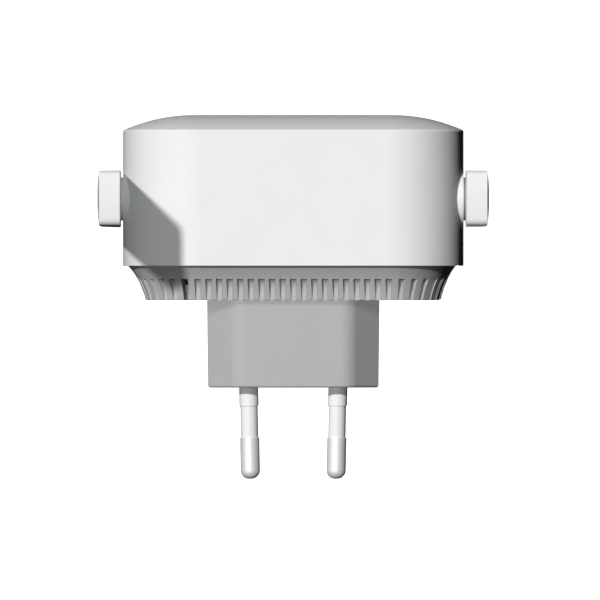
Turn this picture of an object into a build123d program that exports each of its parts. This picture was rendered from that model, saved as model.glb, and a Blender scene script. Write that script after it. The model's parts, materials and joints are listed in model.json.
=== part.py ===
from build123d import *
import math
import os

# Plug-in wifi range extender with two hinged antennas.
# Frame: +Z up, +Y towards the wall, origin between the pins on the end face of the plug block.
# Depths are measured forwards, so a depth d lies at Y = -d.

# Front housing
HALF_WIDTH = 35.5
TOP_Z = 14.5
BOTTOM_Z = -73.5
CORNER_R = 16.0
WALL = 2.0
SEAM_DEPTH = 25.4
EDGE_DEPTH = 53.6
CROWN_RISE = 3.2
CROWN_FLAT = 1.2
APEX_DEPTH = EDGE_DEPTH + CROWN_RISE
INNER_APEX_DEPTH = APEX_DEPTH - WALL
INNER_EDGE_DEPTH = EDGE_DEPTH - 1.7
EDGE_ROUNDING = 0.45
MID_Z = (TOP_Z + BOTTOM_Z) / 2
CORNER_X = HALF_WIDTH - CORNER_R
CORNER_Z = TOP_Z - CORNER_R

# Rear cover
BACK_DEPTH = 18.2
FLOOR_DEPTH = 20.0
SEAM_INSET = 1.05
BACK_INSET = 4.75
COVE_R = 16.0
GROOVE_INSET = 5.0
SKIRT_INSET = 6.4
SKIRT_TOP_DEPTH = 23.6
LIP_TOP_DEPTH = 27.4
LIP_OUTER_INSET = 2.3
LIP_INNER_INSET = 3.8
BACK_ROUNDING = 0.25

# Vent grooves
GROOVE_TOP_DEPTH = 22.7
GROOVE_PITCH = 2.2
GROOVES_TOP = 8
GROOVES_SIDE = 12
GROOVES_CORNER = 8
CORNER_START = 1.7
CORNER_STEP = 12.37
OPEN_RIGHT = (1, 6, 7)
OPEN_LEFT = (4, 5, 6, 7)
GROOVE_REACH = 4.5
GROOVE_LENGTH = 5.5
GROOVE_DRAFT = 8.0
GROOVE_FLOOR_WIDTH = 0.95
SCOOP_R = 2.7
SCOOP_RUN = 2.6
WINDOW_WIDTH = 1.1
WINDOW_INWARDS = 2.4
WINDOW_REACH = 3.9

# Screws, posts and standoffs
POST_SPOTS = [(24, -18), (-24, -18), (24, -62), (-24, -62)]
POST_R = 2.8
POST_DEPTH = 23.1
CUP_R = 4.2
CUP_DEPTH = 23.0
RECESS_R = 3.0
RECESS_DEPTH = 21.4
SCREW_HOLE_R = 1.5
SCREW_HEAD_R = 2.6
SCREW_HEAD_HEIGHT = 1.8
SCREW_HEAD_ROUNDING = 0.6
SCREW_SHANK_R = 1.25
POST_PILOT_R = 1.3
POST_PILOT_DEPTH = 34.0
POST_ROOT_DEPTH = 55.0
DRIVE_LENGTH = 3.0
DRIVE_WIDTH = 0.7
DRIVE_DEPTH = 1.0
STANDOFF_R = 1.6
STANDOFF_SPOTS = [(-22, -2), (22, -2), (-22, -46), (22, -46)]
BOARD_BOSS_R = 2.2
BOARD_PILOT_R = 0.95
BOARD_PILOT_DEPTH = 50.0

# Rating plate
LABEL_WIDTH = 34.0
LABEL_HEIGHT = 16.0
LABEL_Z = -41.0
LABEL_CORNER_R = 1.5
LABEL_THICKNESS = 0.15

# Plug block
PLUG_HALF_WIDTH = 17.95
PLUG_HALF_HEIGHT = 6.85
PLUG_SIDE_FLAT = 0.65
PLUG_FACET_R = 4.7
PLUG_SIDE_R = 0.5
PLUG_DRAFT = 0.6
PLUG_END_ROUNDING = 0.5
PLUG_END_WALL = 2.6
FLANGE_DEPTH = 21.0
PLUG_GAP = 0.15
FLANGE_WIDTH = 38.6
FLANGE_HEIGHT = 15.0
CAVITY_HALF_WIDTH = 15.5
CAVITY_HALF_HEIGHT = 5.0
CAVITY_SIDE_FLAT = 0.5
CAVITY_FACET_R = 3.0

# Plug pins
PIN_X = 9.3
PIN_LEAN = 1.206
PIN_R = 2.0
PIN_CORE_R = 1.4
SLEEVE_NECK_R = 1.8
SLEEVE_COLLAR = 3.9
SLEEVE_END = 10.4
PIN_END = 19.0
PIN_TAIL = 6.0
PIN_FLANGE_R = 2.6
PIN_WELL_R = 2.4
PIN_WELL_DEPTH = 0.6
PIN_TIP_ROUNDING = 1.7
SLEEVE_ROUNDING = 0.15
STRIP_HALF_HEIGHT = 2.0
STRIP_THICKNESS = 0.5
STRIP_INNER_X = 7.4
STRIP_RUN_X = 11.0
STRIP_FOOT_X = 13.5
PLUG_ROOT_PLANE = Plane(origin=(0, -BACK_DEPTH, 0), x_dir=(-1, 0, 0), z_dir=(0, 1, 0))
PIN_PLANE = Plane(
    origin=(PIN_X, 0, 0),
    x_dir=(0, 0, 1),
    z_dir=(-math.sin(math.radians(PIN_LEAN)), math.cos(math.radians(PIN_LEAN)), 0),
)

# Power board and the parts on it
FIT = 0.05
POWER_BACK = 21.4
POWER_FRONT = 23.0
POWER_BOARD_MIDDLE = (0, -22)
POWER_BOARD_WIDTH = 54.0
POWER_BOARD_HEIGHT = 56.0
POWER_TOP_R = 8.0
POWER_BOTTOM_R = 2.0
POWER_NOTCH_WIDTH = 5.0
POWER_NOTCH_R = 4.6
CAPACITOR_R = 4.0
CAPACITOR_ROUNDING = 0.5
MAINS_CAPACITOR_TOP = 36.0
MAINS_CAPACITOR_SPOTS = [(14, -1), (14, -11)]
OUTPUT_CAPACITOR_TOP = 34.0
OUTPUT_CAPACITOR_SPOT = (12, -37)
TRANSFORMER_SPOT = (-7, -24)
CORE_WIDTH = 18.0
CORE_HEIGHT = 15.0
CORE_BACK = 28.0
CORE_FRONT = 33.0
CORE_WINDOW = 11.0
CORE_LEG_HEIGHT = 4.4
BOBBIN_BASE_WIDTH = 20.0
BOBBIN_BASE_HEIGHT = 14.0
BOBBIN_BASE_TOP = 24.4
BOBBIN_TOP = 36.5
BOBBIN_FLANGE = 0.8
BOBBIN_FLANGE_HEIGHT = 10.6
BOBBIN_FLANGE_SPOTS = [(-12, -24), (-2, -24)]
BOBBIN_TUBE_WALL = 0.6
WINDING_START_X = -11.55
WINDING_LENGTH = 9.1
WINDING_DEPTH = 11.6
WINDING_HEIGHT = 10.4
WINDING_R = 2.0
BRIDGE_SPOT = (-20, -1)
BRIDGE_TOP = 25.6
BRIDGE_LEAD_SPOTS = [(-22, -1), (-18, -1)]
RESISTOR_X = -5.0
RESISTOR_Z = 1.5
RESISTOR_DEPTH = 25.6
RESISTOR_R = 1.6
RESISTOR_LENGTH = 8.0
RESISTOR_SPAN = 10.4
WIRE_R = 0.3
CHOKE_SPOT = (-20, -40)
CHOKE_FLANGE_R = 4.0
CHOKE_WINDING_R = 3.4
CHOKE_BASE = 24.2
CHOKE_SHOULDER = 31.0
CHOKE_TOP = 32.0
HEADER_SPOT = (6, -46)
HEADER_WIDTH = 10.2
HEADER_HEIGHT = 2.5
HEADER_BODY = 3.0
HEADER_PIN = 0.64
HEADER_PIN_SPOTS = [(2.2, -46), (4.74, -46), (7.28, -46), (9.82, -46)]
SHEET_SPOT = (0, -18.5)
SHEET_WIDTH = 40.0
SHEET_HEIGHT = 47.0
SHEET_BACK = 38.6
SHEET_FRONT = 38.9

# Main board and the parts on it
MAIN_BACK = 42.8
MAIN_FRONT = 44.0
MAIN_BOARD_MIDDLE = (0, -30.75)
MAIN_BOARD_WIDTH = 59.0
MAIN_BOARD_HEIGHT = 78.5
MAIN_TOP_R = 10.0
MAIN_BOTTOM_R = 12.0
BOARD_SCREW_SPOTS = [(-14, -6), (14, -6), (-14, -55), (14, -55)]
BOARD_HOLE_R = 1.1
BOARD_SCREW_HEAD_R = 1.9
BOARD_SCREW_HEAD_HEIGHT = 1.3
BOARD_SCREW_ROUNDING = 0.4
BOARD_DRIVE_LENGTH = 2.0
BOARD_DRIVE_WIDTH = 0.4
BOARD_DRIVE_DEPTH = 0.6
SHIELD_SPOT = (0, -39)
SHIELD_WIDTH = 26.0
SHIELD_HEIGHT = 22.0
SHIELD_TOP = 46.8
SHIELD_SHEET = 0.25
PROCESSOR_SPOT = (4, -39)
PROCESSOR_SIZE = 10.0
PROCESSOR_TOP = 45.1
MEMORY_SPOT = (-7, -39)
MEMORY_WIDTH = 8.0
MEMORY_HEIGHT = 6.0
MEMORY_TOP = 45.0
SPREADER_WIDTH = 24.0
SPREADER_HEIGHT = 20.0
SPREADER_BASE = 47.8
SPREADER_TOP = 51.0
FIN_THICKNESS = 1.0
FIN_SPOTS = [(3.83 * k, -39) for k in range(-3, 4)]
MAGNETICS_SPOT = (-10, -47)
MAGNETICS_WIDTH = 12.5
MAGNETICS_HEIGHT = 6.0
MAGNETICS_BACK = 39.0
MAGNETICS_LEAD = 0.4

# Antennas, built on the +X side
PIVOT_Y = -39.3
PIVOT_Z = -0.7
ANT_INNER_X = 35.85
ANT_EDGE_X = 40.1
ANT_MID_X = 40.5
ANT_HALF_INNER = 5.95
ANT_HALF_OUTER = 5.8
ANT_TIP_DRAFT = 0.28
ANT_TOP_Z = 50.5
ANT_TOP_DROP = 0.45
ANT_TOP_R = 1.5
ANT_TIP_RUN = 6.0
ANT_WALL = 1.0
ANT_EDGE_ROUNDING = 0.3
ANT_FLAT = 0.8
ANT_SPLIT_X = 37.6
BOSS_R = 5.6
BOSS_INNER_X = 32.0
BOSS_FACE_X = 35.45
BORE_R = 4.05
BARREL_R = 4.0
BARREL_HOLLOW_R = 2.2
BARREL_END_X = 30.6
CLIP_X = 31.0
CLIP_THICKNESS = 0.5
CLIP_SEAT_R = 3.4
NECK_R = 4.5
RADIATOR_X = 37.3
RIB_HEIGHTS = (8.0, 24.0, 40.0)
RIB_WIDTH = 7.0
RIB_THICKNESS = 1.0
RADIATOR_THICKNESS = 0.8
RADIATOR_WIDTH = 8.5
RADIATOR_LENGTH = 46.0
RADIATOR_MID_Z = 23.0
LEAD_R = 0.6
LEAD_BEND_R = 1.0
LEAD_DEPTH = 42.1
LEAD_START_X = 25.85
LEAD_END_X = 31.3
FEED_START_X = 31.5
CONNECTOR_SIZE = 2.6
CONNECTOR_BACK = 41.4
CONNECTOR_SPOTS = [(24.5, PIVOT_Z), (-24.5, PIVOT_Z)]
CLIP_OUTER_R = 5.2
CLIP_GAP_WIDTH = 4.6
CLIP_GAP_HEIGHT = 5.0
WASHER_OUTER_R = 5.4

# Controls on the front and the underside
BUTTON_Z = -14.0
BUTTON_R = 5.0
BUTTON_HOLE_R = 5.3
BUTTON_COLLAR_R = 6.2
BUTTON_STEM_R = 1.8
BUTTON_BACK = 53.5
BUTTON_SINK = 0.2
BUTTON_ROUNDING = 0.4
SWITCH_SIZE = 6.0
SWITCH_TOP = 47.5
SWITCH_WELL_R = 1.75
SWITCH_WELL_DEPTH = 46.0
SWITCH_STEM_R = 1.7
SWITCH_STEM_BACK = 46.6
SWITCH_STEM_TOP = 48.9
LED_Z = -4.5
LED_SPOTS = [(-8, LED_Z), (0, LED_Z), (8, LED_Z)]
LED_WIDTH = 1.6
LED_HEIGHT = 0.8
LED_TOP = 44.7
PIPE_R = 1.0
PIPE_SINK = 0.35
PIPE_FOOT_R = 1.2
PIPE_FOOT_DEPTH = 44.8
GUIDE_WIDTH = 20.0
GUIDE_HEIGHT = 3.0
GUIDE_BACK = 52.4
GUIDE_FRONT = 53.9
RESET_X = 17.0
RESET_DEPTH = 40.8
PINHOLE_R = 0.9
RESET_BODY_DEPTH = 40.9
RESET_BODY_Z = -65.3
RESET_BODY_WIDTH = 5.0
RESET_BODY_THICKNESS = 3.7
RESET_BODY_HEIGHT = 3.6
RESET_WELL_Z = -66.4
RESET_WELL_HEIGHT = 1.4
RESET_KEY_Z = -67.2
RESET_KEY_WIDTH = 2.0
RESET_KEY_THICKNESS = 1.6
RESET_KEY_HEIGHT = 2.1

# Ethernet socket, opening downwards
JACK_MOUTH_Z = -73.3
JACK_BACK_Z = -53.0
JACK_BACK = 29.6
JACK_FRONT = 42.6
JACK_HALF_WIDTH = 7.7
JACK_MID = (JACK_BACK + JACK_FRONT) / 2
JACK_MID_Z = (JACK_MOUTH_Z + JACK_BACK_Z) / 2
JACK_LENGTH = JACK_BACK_Z - JACK_MOUTH_Z
JACK_HOLE_MARGIN = 0.5
JACK_SHEET = 0.3
CAVITY_BACK_Z = -60.5
CAVITY_MID_Z = (JACK_MOUTH_Z + CAVITY_BACK_Z) / 2
CAVITY_LENGTH = CAVITY_BACK_Z - JACK_MOUTH_Z
CAVITY_DEPTH = 36.0
CAVITY_WIDTH = 11.9
CAVITY_THICKNESS = 8.4
LATCH_DEPTH = 31.0
LATCH_WIDTH = 6.2
LATCH_THICKNESS = 1.7
CONTACT_COUNT = 8
CONTACT_PITCH = 1.02
CONTACT_THICKNESS = 0.35
CONTACT_TIP_Z = -71.0
CONTACT_TIP_DEPTH = 40.15
CONTACT_ROOT_DEPTH = 39.3
CONTACT_ROOT_LENGTH = 0.9

os.makedirs("parts", exist_ok=True)


def slab(width, height, back, front, spots=((0, 0),), mode=Mode.ADD):
    """Add or cut flat blocks that face the wall, between two depths."""
    with BuildSketch(Plane.XZ.offset(back)) as outline:
        with Locations(*spots):
            Rectangle(width, height)
    extrude(outline.sketch, amount=front - back, mode=mode)


def disc(radius, back, front, spots=((0, 0),), mode=Mode.ADD):
    """Add or cut round columns along the depth direction."""
    with BuildSketch(Plane.XZ.offset(back)) as outline:
        with Locations(*spots):
            Circle(radius)
    extrude(outline.sketch, amount=front - back, mode=mode)


def axle(radius, start_x, end_x, mode=Mode.ADD):
    """Add or cut a cylinder on the pivot axis of the +X antenna."""
    with BuildSketch(Plane.YZ.offset(start_x)) as outline:
        with Locations((PIVOT_Y, PIVOT_Z)):
            Circle(radius)
    extrude(outline.sketch, amount=end_x - start_x, mode=mode)


def pin_column(radius, start, end, mode=Mode.ADD):
    """Add or cut a cylinder along the leaning axis of the +X pin."""
    with BuildSketch(PIN_PLANE.offset(start)) as outline:
        Circle(radius)
    extrude(outline.sketch, amount=end - start, mode=mode)


def carry_round(draw_profile):
    """Carry a wall profile round the upper right quarter of the rounded rectangle."""
    corner = (CORNER_X, 0, CORNER_Z)
    side_plane = Plane(origin=corner, x_dir=(1, 0, 0), z_dir=(0, 0, 1))
    top_plane = Plane(origin=corner, x_dir=(0, 0, 1), z_dir=(-1, 0, 0))
    with BuildSketch(side_plane) as side:
        draw_profile()
    extrude(side.sketch, amount=MID_Z - CORNER_Z)
    revolve(side.sketch, axis=Axis(corner, (0, -1, 0)), revolution_arc=90)
    with BuildSketch(top_plane) as top:
        draw_profile()
    extrude(top.sketch, amount=CORNER_X)


def fill_quarter(back, front):
    """Fill the flat middle of the upper right quarter between two depths."""
    slab(CORNER_X, CORNER_Z - MID_Z, back, front, [(CORNER_X / 2, (CORNER_Z + MID_Z) / 2)])


def mirror_quarter():
    """Mirror the quarter about both middle planes."""
    mirror(about=Plane.YZ)
    mirror(about=Plane.XY.offset(MID_Z))


def housing_profile():
    inner_x = CORNER_R - WALL
    with BuildLine() as outline:
        Line((0, -APEX_DEPTH), (0, -INNER_APEX_DEPTH))
        TangentArc((0, -INNER_APEX_DEPTH), (inner_x, -INNER_EDGE_DEPTH), tangent=(1, 0))
        Polyline(
            (inner_x, -INNER_EDGE_DEPTH),
            (inner_x, -SEAM_DEPTH),
            (CORNER_R, -SEAM_DEPTH),
            (CORNER_R, -EDGE_DEPTH),
        )
        Line((0, -APEX_DEPTH), (CROWN_FLAT, -APEX_DEPTH))
        TangentArc((CROWN_FLAT, -APEX_DEPTH), (CORNER_R, -EDGE_DEPTH), tangent=(1, 0))
    make_face(outline.edges())


def cover_profile():
    back_x = CORNER_R - BACK_INSET
    seam_x = CORNER_R - SEAM_INSET
    lip_out_x = CORNER_R - LIP_OUTER_INSET
    lip_in_x = CORNER_R - LIP_INNER_INSET
    skirt_x = CORNER_R - SKIRT_INSET
    with BuildLine() as outline:
        RadiusArc((seam_x, -SEAM_DEPTH), (back_x, -BACK_DEPTH), COVE_R)
        Polyline(
            (back_x, -BACK_DEPTH),
            (0, -BACK_DEPTH),
            (0, -FLOOR_DEPTH),
            (skirt_x, -FLOOR_DEPTH),
            (skirt_x, -SKIRT_TOP_DEPTH),
            (lip_in_x, -SKIRT_TOP_DEPTH),
            (lip_in_x, -LIP_TOP_DEPTH),
            (lip_out_x, -LIP_TOP_DEPTH),
            (lip_out_x, -SEAM_DEPTH),
            (seam_x, -SEAM_DEPTH),
        )
    make_face(outline.edges())


def plug_outline(half_x, half_z, flat_z, facet_r):
    """Draw the six-sided plug outline with its rounded corners."""
    shoulder_x = half_x - (half_z - flat_z)
    corners = [
        (shoulder_x, half_z),
        (-shoulder_x, half_z),
        (-half_x, flat_z),
        (-half_x, -flat_z),
        (-shoulder_x, -half_z),
        (shoulder_x, -half_z),
        (half_x, -flat_z),
        (half_x, flat_z),
    ]
    side_r = PLUG_SIDE_R
    radii = [facet_r, facet_r, side_r, side_r, facet_r, facet_r, side_r, side_r]
    with BuildLine() as outline:
        FilletPolyline(*corners, radius=radii, close=True)
    make_face(outline.edges())


def groove_places():
    """Return (x, z, outward angle, open through) for each vent groove of the upper half."""
    radius = CORNER_R - GROOVE_INSET
    places = []
    for k in range(-GROOVES_TOP, GROOVES_TOP + 1):
        places.append((k * GROOVE_PITCH, CORNER_Z + radius, 90.0, False))
    for k in range(GROOVES_SIDE + 1):
        height = MID_Z + k * GROOVE_PITCH
        places.append((CORNER_X + radius, height, 0.0, True))
        places.append((-CORNER_X - radius, height, 180.0, True))
    for j in range(GROOVES_CORNER):
        lean = CORNER_START + j * CORNER_STEP
        across = CORNER_X + radius * math.sin(math.radians(lean))
        height = CORNER_Z + radius * math.cos(math.radians(lean))
        places.append((across, height, 90.0 - lean, j in OPEN_RIGHT))
        places.append((-across, height, 90.0 + lean, j in OPEN_LEFT))
    return places


def groove_planes(inwards, open_only):
    """Return planes at the grooves' floors, facing outwards with x towards the back."""
    planes = []
    for x, z, turn, is_open in groove_places():
        if open_only and not is_open:
            continue
        for flip in (1, -1):
            if flip < 0 and abs(z - MID_Z) < 0.01:
                continue
            out_x = math.cos(math.radians(turn))
            out_z = flip * math.sin(math.radians(turn))
            height = MID_Z + flip * (z - MID_Z)
            origin = (x - inwards * out_x, -GROOVE_TOP_DEPTH, height - inwards * out_z)
            planes.append(Plane(origin=origin, x_dir=(0, 1, 0), z_dir=(out_x, 0, out_z)))
    return planes


def antenna_solid(inset):
    """Add the paddle of the +X antenna, shrunk on every side by an inset."""
    inner_x = ANT_INNER_X + inset
    edge_x = ANT_EDGE_X - inset
    mid_x = ANT_MID_X - inset
    half_inner = ANT_HALF_INNER - inset
    half_outer = ANT_HALF_OUTER - inset
    half_tip = half_inner - ANT_TIP_DRAFT
    top_z = ANT_TOP_Z - inset
    pivot_plane = Plane(origin=(0, PIVOT_Y, PIVOT_Z), x_dir=(1, 0, 0), z_dir=(0, 0, 1))
    with BuildSketch(pivot_plane) as half_section:
        with BuildLine() as outline:
            Polyline(
                (mid_x, ANT_FLAT),
                (mid_x, 0),
                (inner_x, 0),
                (inner_x, half_inner),
                (edge_x, half_outer),
            )
            TangentArc((mid_x, ANT_FLAT), (edge_x, half_outer), tangent=(0, 1))
        make_face()
        fillet(half_section.vertices().group_by(Axis.Y)[2:], ANT_EDGE_ROUNDING)
    extrude(half_section.sketch, amount=top_z - PIVOT_Z)
    mirror(about=Plane.XZ.offset(-PIVOT_Y))
    with BuildSketch(Plane.YZ.offset(inner_x - 1)) as end_outline:
        with BuildLine():
            Polyline(
                (PIVOT_Y - half_tip, top_z - ANT_TOP_DROP),
                (PIVOT_Y - half_inner, PIVOT_Z),
                (PIVOT_Y + half_inner, PIVOT_Z),
                (PIVOT_Y + half_tip, top_z - ANT_TOP_DROP),
            )
            ThreePointArc(
                (PIVOT_Y + half_tip, top_z - ANT_TOP_DROP),
                (PIVOT_Y, top_z),
                (PIVOT_Y - half_tip, top_z - ANT_TOP_DROP),
            )
        make_face()
        fillet(end_outline.vertices().group_by(Axis.Y)[-1], ANT_TOP_R)
    extrude(end_outline.sketch, amount=mid_x - inner_x + 2, mode=Mode.INTERSECT)
    with BuildSketch(Plane.XZ.offset(-PIVOT_Y - 2 * half_inner)) as side_outline:
        with BuildLine():
            Polyline(
                (edge_x, top_z),
                (inner_x - 1, top_z),
                (inner_x - 1, PIVOT_Z),
                (mid_x, PIVOT_Z),
                (mid_x, top_z - ANT_TIP_RUN),
            )
            TangentArc((mid_x, top_z - ANT_TIP_RUN), (edge_x, top_z), tangent=(0, 1))
        make_face()
    extrude(side_outline.sketch, amount=4 * half_inner, mode=Mode.INTERSECT)
    pivot_axis = Axis((0, PIVOT_Y, PIVOT_Z), (-1, 0, 0))
    revolve(half_section.sketch, axis=pivot_axis, revolution_arc=180)


def ring(outer_r, inner_r, start_x, end_x):
    """Add a flat ring on the pivot axis of the +X antenna."""
    axle(outer_r, start_x, end_x)
    axle(inner_r, start_x, end_x, mode=Mode.SUBTRACT)


# Front housing with its screw posts, board bosses and antenna bosses
with BuildPart() as front_housing:
    carry_round(housing_profile)
    fill_quarter(INNER_APEX_DEPTH, APEX_DEPTH)
    mirror_quarter()
    rim = front_housing.edges().filter_by_position(Axis.Y, -EDGE_DEPTH - 0.01, -EDGE_DEPTH + 0.01)
    fillet(rim, EDGE_ROUNDING)
    disc(POST_R, POST_DEPTH, POST_ROOT_DEPTH, POST_SPOTS)
    disc(BOARD_BOSS_R, MAIN_FRONT + 0.02, POST_ROOT_DEPTH, BOARD_SCREW_SPOTS)
    axle(BOSS_R, BOSS_INNER_X, BOSS_FACE_X)
    mirror(about=Plane.YZ)
    disc(POST_PILOT_R, POST_DEPTH, POST_PILOT_DEPTH, POST_SPOTS, Mode.SUBTRACT)
    disc(BOARD_PILOT_R, MAIN_FRONT, BOARD_PILOT_DEPTH, BOARD_SCREW_SPOTS, Mode.SUBTRACT)
    disc(BUTTON_HOLE_R, INNER_APEX_DEPTH - 1, APEX_DEPTH + 1, [(0, BUTTON_Z)], Mode.SUBTRACT)
    disc(PIPE_R + 0.1, INNER_APEX_DEPTH - 1, APEX_DEPTH + 1, LED_SPOTS, Mode.SUBTRACT)
    for side in (1, -1):
        with BuildSketch(Plane.YZ.offset(side * (BOSS_INNER_X - 1))) as bore:
            with Locations((PIVOT_Y, PIVOT_Z)):
                Circle(BORE_R)
        extrude(amount=side * (HALF_WIDTH + 2 - BOSS_INNER_X), mode=Mode.SUBTRACT)
    # Socket opening and reset pinhole in the lower wall
    with Locations((0, -JACK_MID, BOTTOM_Z + WALL / 2)):
        Box(
            2 * (JACK_HALF_WIDTH + JACK_HOLE_MARGIN),
            JACK_FRONT - JACK_BACK + 2 * JACK_HOLE_MARGIN,
            WALL + 2,
            mode=Mode.SUBTRACT,
        )
    with Locations((RESET_X, -RESET_DEPTH, BOTTOM_Z + WALL / 2)):
        Cylinder(PINHOLE_R, WALL + 2, mode=Mode.SUBTRACT)

# Cutting shape of one vent groove: drafted sides, a round top and a scooped upper floor
with BuildPart() as groove_tool:
    with BuildSketch(Plane.XY):
        with Locations((GROOVE_FLOOR_WIDTH / 2, 0)):
            Circle(GROOVE_FLOOR_WIDTH / 2)
        with Locations(((GROOVE_LENGTH + GROOVE_FLOOR_WIDTH) / 2, 0)):
            Rectangle(GROOVE_LENGTH, GROOVE_FLOOR_WIDTH)
    extrude(amount=GROOVE_REACH, taper=-GROOVE_DRAFT)
    scoop_rise = SCOOP_R - math.sqrt(SCOOP_R**2 - SCOOP_RUN**2)
    with BuildSketch(Plane.XZ.offset(-GROOVE_REACH)) as scoop:
        with BuildLine():
            Polyline(
                (SCOOP_RUN, 0),
                (2 * GROOVE_LENGTH, 0),
                (2 * GROOVE_LENGTH, GROOVE_REACH),
                (-SCOOP_RUN, GROOVE_REACH),
                (-SCOOP_RUN, scoop_rise),
                (0, scoop_rise),
            )
            RadiusArc((SCOOP_RUN, 0), (0, scoop_rise), SCOOP_R)
        make_face()
    extrude(scoop.sketch, amount=2 * GROOVE_REACH, mode=Mode.INTERSECT)

# Rear cover with its cove, vent grooves, screw cups and plug opening
with BuildPart() as rear_cover:
    carry_round(cover_profile)
    fill_quarter(BACK_DEPTH, FLOOR_DEPTH)
    mirror_quarter()
    back_rim = rear_cover.edges().filter_by_position(Axis.Y, -BACK_DEPTH - 0.01, -BACK_DEPTH + 0.01)
    fillet(back_rim, BACK_ROUNDING)
    disc(CUP_R, BACK_DEPTH + 0.5, CUP_DEPTH, POST_SPOTS)
    disc(STANDOFF_R, FLOOR_DEPTH - 0.5, POWER_BACK - 0.02, STANDOFF_SPOTS)
    disc(RECESS_R, BACK_DEPTH - 1, RECESS_DEPTH, POST_SPOTS, Mode.SUBTRACT)
    disc(SCREW_HOLE_R, RECESS_DEPTH, CUP_DEPTH, POST_SPOTS, Mode.SUBTRACT)
    with BuildSketch(Plane.XZ.offset(BACK_DEPTH - 1)) as plug_opening:
        plug_outline(
            PLUG_HALF_WIDTH + PLUG_GAP,
            PLUG_HALF_HEIGHT + PLUG_GAP,
            PLUG_SIDE_FLAT,
            PLUG_FACET_R,
        )
    extrude(amount=FLOOR_DEPTH - BACK_DEPTH + 2, mode=Mode.SUBTRACT)
    with Locations(*groove_planes(0.0, False)):
        add(groove_tool.part, mode=Mode.SUBTRACT)
    with BuildSketch(*groove_planes(WINDOW_INWARDS, True)) as windows:
        with Locations((WINDOW_WIDTH / 2, 0)):
            Circle(WINDOW_WIDTH / 2)
        with Locations(((GROOVE_LENGTH + WINDOW_WIDTH) / 2, 0)):
            Rectangle(GROOVE_LENGTH, WINDOW_WIDTH)
    extrude(windows.sketch, amount=WINDOW_REACH, mode=Mode.SUBTRACT)

# Plug block, an insert held by a flange behind the rear cover
with BuildPart() as plug_housing:
    with BuildSketch(PLUG_ROOT_PLANE):
        plug_outline(PLUG_HALF_WIDTH, PLUG_HALF_HEIGHT, PLUG_SIDE_FLAT, PLUG_FACET_R)
    extrude(amount=BACK_DEPTH, taper=PLUG_DRAFT)
    end_rim = plug_housing.faces().sort_by(Axis.Y)[-1].edges()
    fillet(end_rim, PLUG_END_ROUNDING)
    with BuildSketch(Plane.XZ.offset(BACK_DEPTH)):
        plug_outline(PLUG_HALF_WIDTH, PLUG_HALF_HEIGHT, PLUG_SIDE_FLAT, PLUG_FACET_R)
    extrude(amount=FLANGE_DEPTH - BACK_DEPTH)
    slab(FLANGE_WIDTH, FLANGE_HEIGHT, FLOOR_DEPTH + 0.02, FLANGE_DEPTH)
    with BuildSketch(Plane.XZ.offset(FLANGE_DEPTH)):
        plug_outline(CAVITY_HALF_WIDTH, CAVITY_HALF_HEIGHT, CAVITY_SIDE_FLAT, CAVITY_FACET_R)
    extrude(amount=PLUG_END_WALL - FLANGE_DEPTH, mode=Mode.SUBTRACT)
    with BuildSketch(PIN_PLANE.offset(-PLUG_END_WALL - 1)) as pin_hole:
        Circle(PIN_R + 0.02)
    hole = extrude(amount=PLUG_END_WALL + 2, mode=Mode.SUBTRACT)
    mirror(hole, about=Plane.YZ, mode=Mode.SUBTRACT)
    with BuildSketch(Plane.XZ.offset(PIN_WELL_DEPTH)):
        with Locations((PIN_X, 0), (-PIN_X, 0)):
            Circle(PIN_WELL_R)
    extrude(amount=-PIN_WELL_DEPTH - 1, mode=Mode.SUBTRACT)

# Insulating sleeve and metal pin, +X side
with BuildPart() as pin_sleeve_right:
    pin_column(PIN_R, -PLUG_END_WALL, SLEEVE_COLLAR)
    collar_rim = pin_sleeve_right.faces().sort_by(Axis.Y)[-1].edges()
    fillet(collar_rim, SLEEVE_ROUNDING)
    pin_column(SLEEVE_NECK_R, 0, SLEEVE_END)
    pin_column(PIN_CORE_R + 0.02, -PLUG_END_WALL, SLEEVE_END, Mode.SUBTRACT)

with BuildPart() as plug_pin_right:
    pin_column(PIN_R, SLEEVE_END + 0.02, PIN_END)
    tip_rim = plug_pin_right.faces().sort_by(Axis.Y)[-1].edges()
    fillet(tip_rim, PIN_TIP_ROUNDING)
    pin_column(PIN_CORE_R, -PIN_TAIL, SLEEVE_END + 0.02)
    pin_column(PIN_FLANGE_R, -PLUG_END_WALL - 0.9, -PLUG_END_WALL - 0.05)

# Contact strips from the pins to the power board
with BuildPart() as contact_strips:
    with BuildSketch(Plane.XY.offset(-STRIP_HALF_HEIGHT)):
        with BuildLine():
            Polyline(
                (STRIP_INNER_X, -PIN_TAIL - 0.1),
                (STRIP_RUN_X, -PIN_TAIL - 0.1),
                (STRIP_RUN_X, -POWER_BACK + FIT + STRIP_THICKNESS),
                (STRIP_FOOT_X, -POWER_BACK + FIT + STRIP_THICKNESS),
                (STRIP_FOOT_X, -POWER_BACK + FIT),
                (STRIP_RUN_X - STRIP_THICKNESS, -POWER_BACK + FIT),
                (STRIP_RUN_X - STRIP_THICKNESS, -PIN_TAIL - 0.1 - STRIP_THICKNESS),
                (STRIP_INNER_X, -PIN_TAIL - 0.1 - STRIP_THICKNESS),
                close=True,
            )
        make_face()
    extrude(amount=2 * STRIP_HALF_HEIGHT)
    mirror(about=Plane.YZ)

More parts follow.
